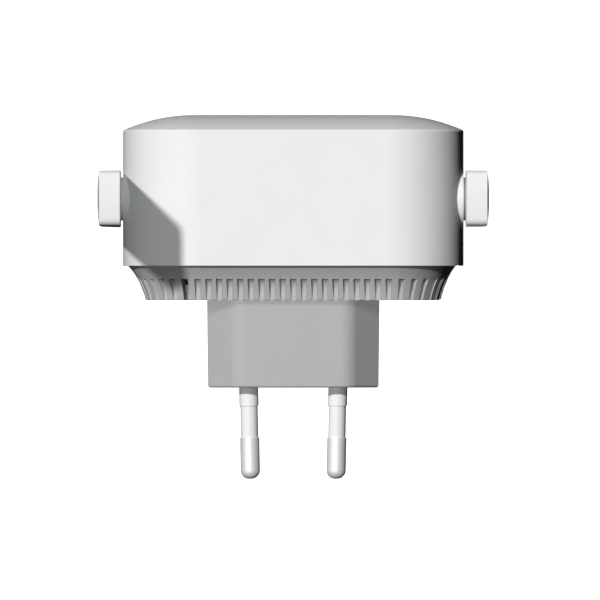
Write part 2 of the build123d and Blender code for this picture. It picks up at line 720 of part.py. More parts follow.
# Screws that hold the rear cover, driven from the wall side
with BuildPart() as case_screws:
    disc(SCREW_HEAD_R, RECESS_DEPTH - SCREW_HEAD_HEIGHT, RECESS_DEPTH, POST_SPOTS)
    fillet(case_screws.faces().group_by(Axis.Y)[-1].edges(), SCREW_HEAD_ROUNDING)
    disc(SCREW_SHANK_R, RECESS_DEPTH, POST_PILOT_DEPTH - 1, POST_SPOTS)
    head_top = RECESS_DEPTH - SCREW_HEAD_HEIGHT
    slab(DRIVE_LENGTH, DRIVE_WIDTH, head_top, head_top + DRIVE_DEPTH, POST_SPOTS, Mode.SUBTRACT)
    slab(DRIVE_WIDTH, DRIVE_LENGTH, head_top, head_top + DRIVE_DEPTH, POST_SPOTS, Mode.SUBTRACT)

# Blank rating plate on the back
with BuildPart() as rating_label:
    with BuildSketch(Plane.XZ.offset(BACK_DEPTH - LABEL_THICKNESS)):
        with Locations((0, LABEL_Z)):
            RectangleRounded(LABEL_WIDTH, LABEL_HEIGHT, LABEL_CORNER_R)
    extrude(amount=LABEL_THICKNESS - 0.01)

# Power board and what stands on it
with BuildPart() as power_board:
    with BuildSketch(Plane.XZ.offset(POWER_BACK)) as power_outline:
        with Locations(POWER_BOARD_MIDDLE):
            Rectangle(POWER_BOARD_WIDTH, POWER_BOARD_HEIGHT)
        fillet(power_outline.vertices().group_by(Axis.Y)[-1], POWER_TOP_R)
        fillet(power_outline.vertices().group_by(Axis.Y)[0], POWER_BOTTOM_R)
        with Locations(*POST_SPOTS[:2]):
            Circle(POWER_NOTCH_R, mode=Mode.SUBTRACT)
        for side in (1, -1):
            with Locations((side * (POST_SPOTS[0][0] + POWER_NOTCH_WIDTH / 2), POST_SPOTS[0][1])):
                Rectangle(POWER_NOTCH_WIDTH, 2 * POWER_NOTCH_R, mode=Mode.SUBTRACT)
    extrude(amount=POWER_FRONT - POWER_BACK)

with BuildPart() as mains_capacitors:
    disc(CAPACITOR_R, POWER_FRONT + FIT, MAINS_CAPACITOR_TOP, MAINS_CAPACITOR_SPOTS)
    fillet(mains_capacitors.faces().group_by(Axis.Y)[0].edges(), CAPACITOR_ROUNDING)

with BuildPart() as output_capacitor:
    disc(CAPACITOR_R, POWER_FRONT + FIT, OUTPUT_CAPACITOR_TOP, [OUTPUT_CAPACITOR_SPOT])
    fillet(output_capacitor.faces().group_by(Axis.Y)[0].edges(), CAPACITOR_ROUNDING)

with BuildPart() as transformer_core:
    slab(CORE_WIDTH, CORE_HEIGHT, CORE_BACK, CORE_FRONT, [TRANSFORMER_SPOT])
    slab(CORE_WINDOW, CORE_WINDOW, CORE_BACK, CORE_FRONT, [TRANSFORMER_SPOT], Mode.SUBTRACT)
    slab(CORE_WINDOW + 1, CORE_LEG_HEIGHT, CORE_BACK, CORE_FRONT, [TRANSFORMER_SPOT])

tube_height = CORE_LEG_HEIGHT + 0.2
tube_back = CORE_BACK - 0.1
tube_front = CORE_FRONT + 0.1
with BuildPart() as transformer_bobbin:
    slab(BOBBIN_BASE_WIDTH, BOBBIN_BASE_HEIGHT, POWER_FRONT + FIT, BOBBIN_BASE_TOP, [TRANSFORMER_SPOT])
    slab(BOBBIN_FLANGE, BOBBIN_FLANGE_HEIGHT, BOBBIN_BASE_TOP, BOBBIN_TOP, BOBBIN_FLANGE_SPOTS)
    slab(
        CORE_WINDOW - 1,
        tube_height + 2 * BOBBIN_TUBE_WALL,
        tube_back - BOBBIN_TUBE_WALL,
        tube_front + BOBBIN_TUBE_WALL,
        [TRANSFORMER_SPOT],
    )
    slab(CORE_WINDOW, tube_height, tube_back, tube_front, [TRANSFORMER_SPOT], Mode.SUBTRACT)

with BuildPart() as transformer_winding:
    with BuildSketch(Plane.YZ.offset(WINDING_START_X)):
        with Locations((-(CORE_BACK + CORE_FRONT) / 2, TRANSFORMER_SPOT[1])):
            RectangleRounded(WINDING_DEPTH, WINDING_HEIGHT, WINDING_R)
            Rectangle(
                tube_front - tube_back + 2 * BOBBIN_TUBE_WALL + 0.2,
                tube_height + 2 * BOBBIN_TUBE_WALL + 0.2,
                mode=Mode.SUBTRACT,
            )
    extrude(amount=WINDING_LENGTH)

with BuildPart() as bridge_rectifier:
    slab(6.5, 5.0, POWER_FRONT + 0.3, BRIDGE_TOP, [BRIDGE_SPOT])
    slab(1.0, 7.0, POWER_FRONT + FIT, POWER_FRONT + 0.4, BRIDGE_LEAD_SPOTS)

with BuildPart() as fusible_resistor:
    with Locations(Location((RESISTOR_X, -RESISTOR_DEPTH, RESISTOR_Z), (0, 90, 0))):
        Cylinder(RESISTOR_R, RESISTOR_LENGTH)
        Cylinder(WIRE_R, RESISTOR_SPAN + 2 * WIRE_R)
    wire_spots = [(RESISTOR_X + side * RESISTOR_SPAN / 2, RESISTOR_Z) for side in (1, -1)]
    disc(WIRE_R, POWER_FRONT + FIT, RESISTOR_DEPTH, wire_spots)

with BuildPart() as mains_choke:
    disc(CHOKE_FLANGE_R, POWER_FRONT + FIT, CHOKE_BASE, [CHOKE_SPOT])
    disc(CHOKE_WINDING_R, CHOKE_BASE, CHOKE_SHOULDER, [CHOKE_SPOT])
    disc(CHOKE_FLANGE_R, CHOKE_SHOULDER, CHOKE_TOP, [CHOKE_SPOT])

with BuildPart() as board_header:
    slab(HEADER_WIDTH, HEADER_HEIGHT, POWER_FRONT + FIT, POWER_FRONT + HEADER_BODY, [HEADER_SPOT])
    slab(HEADER_WIDTH, HEADER_HEIGHT, MAIN_BACK - HEADER_BODY, MAIN_BACK - FIT, [HEADER_SPOT])
    slab(HEADER_PIN, HEADER_PIN, POWER_FRONT + HEADER_BODY, MAIN_BACK - HEADER_BODY, HEADER_PIN_SPOTS)

with BuildPart() as insulation_sheet:
    slab(SHEET_WIDTH, SHEET_HEIGHT, SHEET_BACK, SHEET_FRONT, [SHEET_SPOT])

# Main board and the parts on both of its faces
with BuildPart() as main_board:
    with BuildSketch(Plane.XZ.offset(MAIN_BACK)) as main_outline:
        with Locations(MAIN_BOARD_MIDDLE):
            Rectangle(MAIN_BOARD_WIDTH, MAIN_BOARD_HEIGHT)
        fillet(main_outline.vertices().group_by(Axis.Y)[-1], MAIN_TOP_R)
        fillet(main_outline.vertices().group_by(Axis.Y)[0], MAIN_BOTTOM_R)
        with Locations(*POST_SPOTS):
            Circle(POST_R + 0.3, mode=Mode.SUBTRACT)
        with Locations(*BOARD_SCREW_SPOTS):
            Circle(BOARD_HOLE_R, mode=Mode.SUBTRACT)
    extrude(amount=MAIN_FRONT - MAIN_BACK)

board_head_back = MAIN_BACK - BOARD_SCREW_HEAD_HEIGHT
board_drive_end = board_head_back + BOARD_DRIVE_DEPTH
with BuildPart() as board_screws:
    disc(BOARD_SCREW_HEAD_R, board_head_back, MAIN_BACK - 0.03, BOARD_SCREW_SPOTS)
    fillet(board_screws.faces().group_by(Axis.Y)[-1].edges(), BOARD_SCREW_ROUNDING)
    disc(BOARD_PILOT_R - FIT, MAIN_BACK - 0.5, BOARD_PILOT_DEPTH - 0.5, BOARD_SCREW_SPOTS)
    for width, height in (
        (BOARD_DRIVE_LENGTH, BOARD_DRIVE_WIDTH),
        (BOARD_DRIVE_WIDTH, BOARD_DRIVE_LENGTH),
    ):
        slab(width, height, board_head_back, board_drive_end, BOARD_SCREW_SPOTS, Mode.SUBTRACT)

with BuildPart() as shield_can:
    slab(SHIELD_WIDTH, SHIELD_HEIGHT, MAIN_FRONT + FIT, SHIELD_TOP, [SHIELD_SPOT])
    slab(
        SHIELD_WIDTH - 2 * SHIELD_SHEET,
        SHIELD_HEIGHT - 2 * SHIELD_SHEET,
        MAIN_FRONT,
        SHIELD_TOP - SHIELD_SHEET,
        [SHIELD_SPOT],
        Mode.SUBTRACT,
    )

with BuildPart() as processor_chip:
    slab(PROCESSOR_SIZE, PROCESSOR_SIZE, MAIN_FRONT + FIT, PROCESSOR_TOP, [PROCESSOR_SPOT])

with BuildPart() as memory_chip:
    slab(MEMORY_WIDTH, MEMORY_HEIGHT, MAIN_FRONT + FIT, MEMORY_TOP, [MEMORY_SPOT])

pad_front = SHIELD_TOP - SHIELD_SHEET - 0.03
with BuildPart() as thermal_pad:
    slab(PROCESSOR_SIZE, PROCESSOR_SIZE, PROCESSOR_TOP + 0.02, pad_front, [PROCESSOR_SPOT])

with BuildPart() as heat_spreader:
    slab(SPREADER_WIDTH, SPREADER_HEIGHT, SHIELD_TOP + 0.02, SPREADER_BASE, [SHIELD_SPOT])
    slab(FIN_THICKNESS, SPREADER_HEIGHT, SPREADER_BASE, SPREADER_TOP, FIN_SPOTS)

with BuildPart() as status_leds:
    slab(LED_WIDTH, LED_HEIGHT, MAIN_FRONT + FIT, LED_TOP, LED_SPOTS)

with BuildPart() as light_guide:
    slab(GUIDE_WIDTH, GUIDE_HEIGHT, GUIDE_BACK, GUIDE_FRONT, [(0, LED_Z)])
    disc(PIPE_FOOT_R, PIPE_FOOT_DEPTH, GUIDE_BACK, LED_SPOTS)
    disc(PIPE_R, GUIDE_FRONT, APEX_DEPTH - PIPE_SINK, LED_SPOTS)

with BuildPart() as wps_switch_body:
    slab(SWITCH_SIZE, SWITCH_SIZE, MAIN_FRONT + FIT, SWITCH_TOP, [(0, BUTTON_Z)])
    disc(SWITCH_WELL_R, SWITCH_WELL_DEPTH, SWITCH_TOP, [(0, BUTTON_Z)], Mode.SUBTRACT)

with BuildPart() as wps_switch_plunger:
    disc(SWITCH_STEM_R, SWITCH_STEM_BACK, SWITCH_STEM_TOP, [(0, BUTTON_Z)])

with BuildPart() as wps_button:
    disc(BUTTON_R, BUTTON_BACK, APEX_DEPTH - BUTTON_SINK, [(0, BUTTON_Z)])
    fillet(wps_button.faces().sort_by(Axis.Y)[0].edges(), BUTTON_ROUNDING)
    disc(BUTTON_COLLAR_R, BUTTON_BACK, INNER_APEX_DEPTH - FIT, [(0, BUTTON_Z)])
    disc(BUTTON_STEM_R, SWITCH_STEM_TOP + FIT, BUTTON_BACK, [(0, BUTTON_Z)])

with BuildPart() as reset_switch_body:
    with Locations((RESET_X, -RESET_BODY_DEPTH, RESET_BODY_Z)):
        Box(RESET_BODY_WIDTH, RESET_BODY_THICKNESS, RESET_BODY_HEIGHT)
    with Locations((RESET_X, -RESET_DEPTH, RESET_WELL_Z)):
        Box(RESET_KEY_WIDTH + 0.1, RESET_KEY_THICKNESS + 0.1, RESET_WELL_HEIGHT, mode=Mode.SUBTRACT)

with BuildPart() as reset_switch_plunger:
    with Locations((RESET_X, -RESET_DEPTH, RESET_KEY_Z)):
        Box(RESET_KEY_WIDTH, RESET_KEY_THICKNESS, RESET_KEY_HEIGHT)

# Ethernet socket: moulded housing, folded shield and contacts
with BuildPart() as ethernet_jack_housing:
    with Locations((0, -JACK_MID, JACK_MID_Z)):
        Box(2 * JACK_HALF_WIDTH, JACK_FRONT - JACK_BACK, JACK_LENGTH)
    with Locations((0, -CAVITY_DEPTH, CAVITY_MID_Z)):
        Box(CAVITY_WIDTH, CAVITY_THICKNESS, CAVITY_LENGTH, mode=Mode.SUBTRACT)
    with Locations((0, -LATCH_DEPTH, CAVITY_MID_Z)):
        Box(LATCH_WIDTH, LATCH_THICKNESS, CAVITY_LENGTH, mode=Mode.SUBTRACT)

shield_back = JACK_BACK - JACK_SHEET
shield_front = MAIN_BACK - 0.1
shield_length = JACK_LENGTH + JACK_SHEET
with BuildPart() as ethernet_jack_shield:
    with Locations((0, -(shield_back + shield_front) / 2, JACK_MOUTH_Z + shield_length / 2)):
        Box(2 * (JACK_HALF_WIDTH + JACK_SHEET), shield_front - shield_back, shield_length)
    slot_length = JACK_LENGTH + 2.0
    slot_thickness = shield_front - JACK_BACK + 1.03
    with Locations((0, -JACK_BACK + 0.03 - slot_thickness / 2, JACK_BACK_Z + 0.03 - slot_length / 2)):
        Box(2 * JACK_HALF_WIDTH + 0.06, slot_thickness, slot_length, mode=Mode.SUBTRACT)

with BuildPart() as ethernet_contacts:
    root_z = CAVITY_BACK_Z - 0.02
    bend_z = CAVITY_BACK_Z - CONTACT_ROOT_LENGTH
    for k in range(CONTACT_COUNT):
        start_x = (k - (CONTACT_COUNT - 1) / 2) * CONTACT_PITCH - CONTACT_THICKNESS / 2
        with BuildSketch(Plane.YZ.offset(start_x)):
            with BuildLine():
                Polyline(
                    (-CONTACT_TIP_DEPTH, CONTACT_TIP_Z),
                    (-CONTACT_TIP_DEPTH + CONTACT_THICKNESS, CONTACT_TIP_Z),
                    (-CONTACT_ROOT_DEPTH + CONTACT_THICKNESS, bend_z),
                    (-CONTACT_ROOT_DEPTH + CONTACT_THICKNESS, root_z),
                    (-CONTACT_ROOT_DEPTH, root_z),
                    (-CONTACT_ROOT_DEPTH, bend_z),
                    close=True,
                )
            make_face()
        extrude(amount=CONTACT_THICKNESS)

lead_depth = MAIN_BACK - MAGNETICS_LEAD
with BuildPart() as ethernet_magnetics:
    slab(MAGNETICS_WIDTH, MAGNETICS_HEIGHT, MAGNETICS_BACK, lead_depth, [MAGNETICS_SPOT])
    slab(MAGNETICS_WIDTH - 1, MAGNETICS_HEIGHT + 2, lead_depth, MAIN_BACK - FIT, [MAGNETICS_SPOT])

# Coaxial leads and their board connectors, one pair per antenna
with BuildPart() as antenna_connectors:
    slab(CONNECTOR_SIZE, CONNECTOR_SIZE, CONNECTOR_BACK, MAIN_BACK - FIT, CONNECTOR_SPOTS)

with BuildPart() as antenna_leads:
    with BuildLine() as lead_path:
        FilletPolyline(
            (LEAD_START_X, -LEAD_DEPTH, PIVOT_Z),
            (LEAD_START_X + 2.15, -LEAD_DEPTH, PIVOT_Z),
            (LEAD_END_X - 1.7, PIVOT_Y, PIVOT_Z),
            (LEAD_END_X, PIVOT_Y, PIVOT_Z),
            radius=LEAD_BEND_R,
        )
    with BuildSketch(Plane.YZ.offset(LEAD_START_X)):
        with Locations((-LEAD_DEPTH, PIVOT_Z)):
            Circle(LEAD_R)
    sweep()
    mirror(about=Plane.YZ)

# Antenna shells, +X side
with BuildPart() as antenna_outside:
    antenna_solid(0.0)

with BuildPart() as antenna_inside:
    antenna_solid(ANT_WALL)

with BuildPart() as antenna_outer_shell_right:
    add(antenna_outside.part)
    add(antenna_inside.part, mode=Mode.SUBTRACT)
    split(bisect_by=Plane.YZ.offset(ANT_SPLIT_X), keep=Keep.TOP)
    for height in RIB_HEIGHTS:
        with BuildSketch(Plane.YZ.offset(RADIATOR_X + RADIATOR_THICKNESS + FIT)):
            with Locations((PIVOT_Y, height)):
                Rectangle(RIB_WIDTH, RIB_THICKNESS)
        extrude(amount=ANT_EDGE_X - 0.75 - RADIATOR_X - RADIATOR_THICKNESS - FIT)

with BuildPart() as antenna_inner_shell_right:
    add(antenna_outside.part)
    add(antenna_inside.part, mode=Mode.SUBTRACT)
    split(bisect_by=Plane.YZ.offset(ANT_SPLIT_X), keep=Keep.BOTTOM)
    for height in RIB_HEIGHTS:
        with BuildSketch(Plane.YZ.offset(ANT_INNER_X + 0.5)):
            with Locations((PIVOT_Y, height)):
                Rectangle(RIB_WIDTH, RIB_THICKNESS)
        extrude(amount=RADIATOR_X - FIT - ANT_INNER_X - 0.5)
    axle(NECK_R, BOSS_FACE_X + FIT, ANT_INNER_X + 0.3)
    axle(BARREL_R, BARREL_END_X, ANT_INNER_X)
    axle(BARREL_HOLLOW_R, BARREL_END_X - 1, ANT_INNER_X + ANT_WALL + 0.2, Mode.SUBTRACT)
    with BuildSketch(Plane.YZ.offset(CLIP_X)):
        with Locations((PIVOT_Y, PIVOT_Z)):
            Circle(BARREL_R + 1)
            Circle(CLIP_SEAT_R, mode=Mode.SUBTRACT)
    extrude(amount=CLIP_THICKNESS, mode=Mode.SUBTRACT)

with BuildPart() as radiator_right:
    with BuildSketch(Plane.YZ.offset(RADIATOR_X)):
        with Locations((PIVOT_Y, RADIATOR_MID_Z)):
            Rectangle(RADIATOR_WIDTH, RADIATOR_LENGTH)
    extrude(amount=RADIATOR_THICKNESS)

with BuildPart() as antenna_feed_right:
    axle(LEAD_R, FEED_START_X, RADIATOR_X - FIT)

with BuildPart() as retaining_clip_right:
    ring(CLIP_OUTER_R, CLIP_SEAT_R + 0.02, CLIP_X + 0.03, CLIP_X + CLIP_THICKNESS - 0.03)
    with Locations((CLIP_X, PIVOT_Y, PIVOT_Z - CLIP_GAP_HEIGHT + 0.5)):
        Box(2, CLIP_GAP_WIDTH, CLIP_GAP_HEIGHT, mode=Mode.SUBTRACT)

with BuildPart() as friction_washer_right:
    ring(WASHER_OUTER_R, BARREL_R + 0.15, CLIP_X + CLIP_THICKNESS + FIT, BOSS_INNER_X - FIT)

pieces = {
    "front_housing": front_housing,
    "rear_cover": rear_cover,
    "plug_housing": plug_housing,
    "contact_strips": contact_strips,
    "case_screws": case_screws,
    "rating_label": rating_label,
    "power_board": power_board,
    "mains_capacitors": mains_capacitors,
    "output_capacitor": output_capacitor,
    "transformer_core": transformer_core,
    "transformer_bobbin": transformer_bobbin,
    "transformer_winding": transformer_winding,
    "bridge_rectifier": bridge_rectifier,
    "fusible_resistor": fusible_resistor,
    "mains_choke": mains_choke,
    "board_header": board_header,
    "insulation_sheet": insulation_sheet,
    "main_board": main_board,
    "board_screws": board_screws,
    "shield_can": shield_can,
    "processor_chip": processor_chip,
    "memory_chip": memory_chip,
    "thermal_pad": thermal_pad,
    "heat_spreader": heat_spreader,
    "status_leds": status_leds,
    "light_guide": light_guide,
    "wps_switch_body": wps_switch_body,
    "wps_switch_plunger": wps_switch_plunger,
    "wps_button": wps_button,
    "reset_switch_body": reset_switch_body,
    "reset_switch_plunger": reset_switch_plunger,
    "ethernet_jack_housing": ethernet_jack_housing,
    "ethernet_jack_shield": ethernet_jack_shield,
    "ethernet_contacts": ethernet_contacts,
    "ethernet_magnetics": ethernet_magnetics,
    "antenna_connectors": antenna_connectors,
    "antenna_leads": antenna_leads,
}
handed_pieces = {
    "pin_sleeve": pin_sleeve_right,
    "plug_pin": plug_pin_right,
    "antenna_outer_shell": antenna_outer_shell_right,
    "antenna_inner_shell": antenna_inner_shell_right,
    "radiator": radiator_right,
    "antenna_feed": antenna_feed_right,
    "retaining_clip": retaining_clip_right,
    "friction_washer": friction_washer_right,
}
for name, right_piece in handed_pieces.items():
    with BuildPart() as left_piece:
        mirror(right_piece.part, about=Plane.YZ)
    pieces[name + "_right"] = right_piece
    pieces[name + "_left"] = left_piece

for name, piece in pieces.items():
    piece.part.label = name
    export_step(piece.part, "parts/" + name + ".step")
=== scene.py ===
import json
import math
import random

import bmesh
import bpy
from mathutils import Matrix, Vector


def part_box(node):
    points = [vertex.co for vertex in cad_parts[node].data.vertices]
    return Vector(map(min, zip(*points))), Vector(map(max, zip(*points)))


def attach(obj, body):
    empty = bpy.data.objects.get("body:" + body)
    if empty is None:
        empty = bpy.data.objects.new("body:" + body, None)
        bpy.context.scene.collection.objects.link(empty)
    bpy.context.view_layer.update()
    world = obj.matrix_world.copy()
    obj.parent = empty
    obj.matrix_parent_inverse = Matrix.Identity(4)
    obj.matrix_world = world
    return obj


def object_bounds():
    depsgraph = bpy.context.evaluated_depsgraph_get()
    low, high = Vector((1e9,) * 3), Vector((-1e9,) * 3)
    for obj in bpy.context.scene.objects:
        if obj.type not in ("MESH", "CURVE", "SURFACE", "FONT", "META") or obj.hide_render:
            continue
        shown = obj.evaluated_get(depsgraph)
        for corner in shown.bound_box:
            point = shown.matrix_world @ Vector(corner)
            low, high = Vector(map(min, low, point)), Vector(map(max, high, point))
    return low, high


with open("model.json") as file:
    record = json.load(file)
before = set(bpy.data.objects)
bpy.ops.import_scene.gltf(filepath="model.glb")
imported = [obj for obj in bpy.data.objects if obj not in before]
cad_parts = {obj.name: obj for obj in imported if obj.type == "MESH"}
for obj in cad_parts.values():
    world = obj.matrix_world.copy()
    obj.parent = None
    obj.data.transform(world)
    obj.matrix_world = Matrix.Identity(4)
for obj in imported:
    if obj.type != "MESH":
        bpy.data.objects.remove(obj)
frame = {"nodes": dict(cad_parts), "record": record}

CAD_LOW, CAD_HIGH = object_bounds()
MM = 0.001

# ---------------------------------------------------------------- view and light

SENSOR_MM = 36.0
LENS_MM = 1700.0
VIEW_WIDTH = 125.0 * MM
AIM_X = -1.4 * MM
AIM_Y = -18.25 * MM
CLIP_START = 0.5
CLIP_END = 20.0
FLOOR_DROP = 0.62
FLOOR_SIZE = 0.3

KEY_FROM = Vector((0.318, -0.295, 0.901))
KEY_STRENGTH = 2.42
KEY_SOFTNESS = math.radians(3.0)
BOUNCE_STRENGTH = 0.92
PLUG_SHADOW = 0.35
PLUG_SOFTNESS = math.radians(14.0)
ANTENNA_SHELLS = [
    "antenna_outer_shell_right",
    "antenna_outer_shell_left",
    "antenna_inner_shell_right",
    "antenna_inner_shell_left",
]
OUTER_NODES = [
    "front_housing",
    "rear_cover",
    "plug_housing",
    "pin_sleeve_right",
    "pin_sleeve_left",
    "plug_pin_right",
    "plug_pin_left",
    *ANTENNA_SHELLS,
]
BELOW_FROM = Vector((-0.15, 0.16, -0.97))
BELOW_STRENGTH = 2.8
SIDE_SOFTNESS = math.radians(6.0)
AMBIENT = 0.008
SHEEN_ABOVE = 0.12
SHEEN_BELOW = 0.0
SHEEN_FADE_LOW = -0.25
SHEEN_FADE_HIGH = 0.35
FLOOR_GLOW = 0.7
FLOOR_ROUGHNESS = 0.9
PALE = (0.95, 0.95, 0.95, 1.0)
PURE_WHITE = (1.0, 1.0, 1.0, 1.0)


def add_camera():
    """A long lens straight above the top of the extender, with the front at the top of the picture."""
    data = bpy.data.cameras.new("camera")
    data.sensor_width = SENSOR_MM
    data.lens = LENS_MM
    distance = VIEW_WIDTH * LENS_MM / SENSOR_MM
    data.clip_start = CLIP_START
    data.clip_end = CLIP_END
    camera = bpy.data.objects.new("camera", data)
    camera.location = (AIM_X, AIM_Y, distance)
    camera.rotation_euler = (0.0, 0.0, math.pi)
    bpy.context.scene.collection.objects.link(camera)
    bpy.context.scene.camera = camera


def add_sun(name, direction, strength, softness, shadows=True, lit_nodes=None, unlit_nodes=None):
    """A sun from a direction. It can be kept to some CAD nodes, or kept off some."""
    data = bpy.data.lights.new(name, "SUN")
    data.energy = strength
    data.angle = softness
    data.use_shadow = shadows
    light = bpy.data.objects.new(name, data)
    light.rotation_mode = "QUATERNION"
    light.rotation_quaternion = direction.to_track_quat("Z", "Y")
    bpy.context.scene.collection.objects.link(light)
    if lit_nodes:
        receivers = bpy.data.collections.new(name + "_receivers")
        for node_name in lit_nodes:
            receivers.objects.link(frame["nodes"][node_name])
        light.light_linking.receiver_collection = receivers
    if unlit_nodes:
        spared = bpy.data.collections.new(name + "_spared")
        for node_name in unlit_nodes:
            spared.objects.link(frame["nodes"][node_name])
        for member in spared.collection_objects:
            member.light_linking.link_state = "EXCLUDE"
        light.light_linking.receiver_collection = spared


def add_world():
    """White past the object, very dim for diffuse light, a faint sheen from above in reflections."""
    world = bpy.data.worlds.new("studio")
    bpy.context.scene.world = world
    world.use_nodes = True
    tree = world.node_tree
    tree.nodes.clear()
    output = tree.nodes.new("ShaderNodeOutputWorld")
    paths = tree.nodes.new("ShaderNodeLightPath")
    dim = tree.nodes.new("ShaderNodeBackground")
    dim.inputs["Strength"].default_value = AMBIENT
    shine = tree.nodes.new("ShaderNodeBackground")
    place = tree.nodes.new("ShaderNodeTexCoord")
    split = tree.nodes.new("ShaderNodeSeparateXYZ")
    fade = tree.nodes.new("ShaderNodeMapRange")
    fade.inputs["From Min"].default_value = SHEEN_FADE_LOW
    fade.inputs["From Max"].default_value = SHEEN_FADE_HIGH
    fade.inputs["To Min"].default_value = SHEEN_BELOW
    fade.inputs["To Max"].default_value = SHEEN_ABOVE
    tree.links.new(place.outputs["Generated"], split.inputs["Vector"])
    tree.links.new(split.outputs["Z"], fade.inputs["Value"])
    tree.links.new(fade.outputs["Result"], shine.inputs["Strength"])
    white = tree.nodes.new("ShaderNodeBackground")
    for shade in (dim, shine, white):
        shade.inputs["Color"].default_value = PURE_WHITE
    glossy_mix = tree.nodes.new("ShaderNodeMixShader")
    camera_mix = tree.nodes.new("ShaderNodeMixShader")
    tree.links.new(paths.outputs["Is Glossy Ray"], glossy_mix.inputs["Fac"])
    tree.links.new(dim.outputs[0], glossy_mix.inputs[1])
    tree.links.new(shine.outputs[0], glossy_mix.inputs[2])
    tree.links.new(paths.outputs["Is Camera Ray"], camera_mix.inputs["Fac"])
    tree.links.new(glossy_mix.outputs[0], camera_mix.inputs[1])
    tree.links.new(white.outputs[0], camera_mix.inputs[2])
    tree.links.new(camera_mix.outputs[0], output.inputs["Surface"])


def add_floor():
    """A plain pale floor, well below the extender, so that its shadow falls outside the picture."""
    half = FLOOR_SIZE / 2
    height = CAD_LOW.z - FLOOR_DROP
    mesh = bpy.data.meshes.new("floor")
    corners = [(-half, -half, height), (half, -half, height), (half, half, height), (-half, half, height)]
    mesh.from_pydata(corners, [], [(0, 1, 2, 3)])
    floor = bpy.data.objects.new("floor", mesh)
    bpy.context.scene.collection.objects.link(floor)
    floor.visible_diffuse = False
    floor.visible_glossy = False
    floor.visible_shadow = False
    material = bpy.data.materials.new("pale_floor")
    material.use_nodes = True
    shader = material.node_tree.nodes["Principled BSDF"]
    shader.inputs["Base Color"].default_value = PALE
    shader.inputs["Roughness"].default_value = FLOOR_ROUGHNESS
    shader.inputs["Emission Color"].default_value = PURE_WHITE
    shader.inputs["Emission Strength"].default_value = FLOOR_GLOW
    mesh.materials.append(material)


def quieten_antennas():
    """The upright paddles cast shadows but throw no second-hand light on the box's corners."""
    for node_name in ANTENNA_SHELLS:
        frame["nodes"][node_name].visible_diffuse = False


add_camera()
add_world()
add_floor()
quieten_antennas()
add_sun("key", KEY_FROM, KEY_STRENGTH, KEY_SOFTNESS, unlit_nodes=["plug_housing"])
add_sun("plug_key", KEY_FROM, KEY_STRENGTH * PLUG_SHADOW, PLUG_SOFTNESS, lit_nodes=["plug_housing"])
add_sun(
    "plug_fill",
    KEY_FROM,
    KEY_STRENGTH * (1.0 - PLUG_SHADOW),
    KEY_SOFTNESS,
    shadows=False,
    lit_nodes=["plug_housing"],
)
add_sun("key_bounce", KEY_FROM, BOUNCE_STRENGTH, KEY_SOFTNESS, shadows=False, lit_nodes=OUTER_NODES)
add_sun("below", BELOW_FROM, BELOW_STRENGTH, SIDE_SOFTNESS)
bpy.context.scene.view_settings.view_transform = "Standard"

# ---------------------------------------------------------------- materials

PLASTIC_SPECULAR = 0.10
PLASTIC_ROUGHNESS_SPREAD = 0.06
FLOW_MARK_MM = 9.0
HANDLING_MM = 2.5
TARNISH_MM = 3.0
TARNISH = 0.10
BRUSHED_SMOOTHEST = 0.75
BRUSHED_ROUGHEST = 1.35
TRACK_SCALE = 260.0
TRACK_GAP = 0.018
TRACK_SHADE = 0.86
EVEN = (1.0, 1.0, 1.0)


class Surface:
    """A Principled material built step by step, with textures in the object's own metres."""

    def __init__(self, name, color, roughness, metallic=0.0):
        self.material = bpy.data.materials.new(name)
        self.material.use_nodes = True
        self.tree = self.material.node_tree
        self.shader = self.tree.nodes["Principled BSDF"]
        self.color = color
        self.set("Base Color", (*color, 1.0))
        self.set("Roughness", roughness)
        self.set("Metallic", metallic)
        self.place = self.tree.nodes.new("ShaderNodeTexCoord").outputs["Object"]

    def set(self, socket, value):
        self.shader.inputs[socket].default_value = value

    def link(self, output, target):
        self.tree.links.new(output, target)

    def noise(self, grain_mm, detail=2.0, stretch=EVEN):
        """Noise with blobs of about grain_mm, stretched along an axis where stretch is under 1."""
        place = self.place
        if stretch != EVEN:
            mapping = self.tree.nodes.new("ShaderNodeMapping")
            mapping.inputs["Scale"].default_value = stretch
            self.link(place, mapping.inputs["Vector"])
            place = mapping.outputs["Vector"]
        node = self.tree.nodes.new("ShaderNodeTexNoise")
        node.inputs["Scale"].default_value = 1.0 / (grain_mm * MM)
        node.inputs["Detail"].default_value = detail
        self.link(place, node.inputs["Vector"])
        return node.outputs["Fac"]

    def vary_color(self, source, amount, low=0.3, high=0.7):
        """Darken the colour by up to amount where the source is low."""
        ramp = self.tree.nodes.new("ShaderNodeValToRGB")
        ramp.color_ramp.elements[0].position = low
        ramp.color_ramp.elements[1].position = high
        ramp.color_ramp.elements[0].color = (*[c * (1.0 - amount) for c in self.color], 1.0)
        ramp.color_ramp.elements[1].color = (*self.color, 1.0)
        self.link(source, ramp.inputs["Fac"])
        self.link(ramp.outputs["Color"], self.shader.inputs["Base Color"])

    def vary_roughness(self, source, low, high):
        """Run the roughness from low to high with the source."""
        spread = self.tree.nodes.new("ShaderNodeMapRange")
        spread.inputs["To Min"].default_value = low
        spread.inputs["To Max"].default_value = high
        self.link(source, spread.inputs["Value"])
        self.link(spread.outputs["Result"], self.shader.inputs["Roughness"])

    def bump(self, source, depth_mm):
        """Raise the surface by the source, on top of any bump it already has."""
        node = self.tree.nodes.new("ShaderNodeBump")
        node.inputs["Distance"].default_value = depth_mm * MM
        node.inputs["Strength"].default_value = 1.0
        self.link(source, node.inputs["Height"])
        previous = self.shader.inputs["Normal"]
        if previous.is_linked:
            self.link(previous.links[0].from_socket, node.inputs["Normal"])
        self.link(node.outputs["Normal"], self.shader.inputs["Normal"])


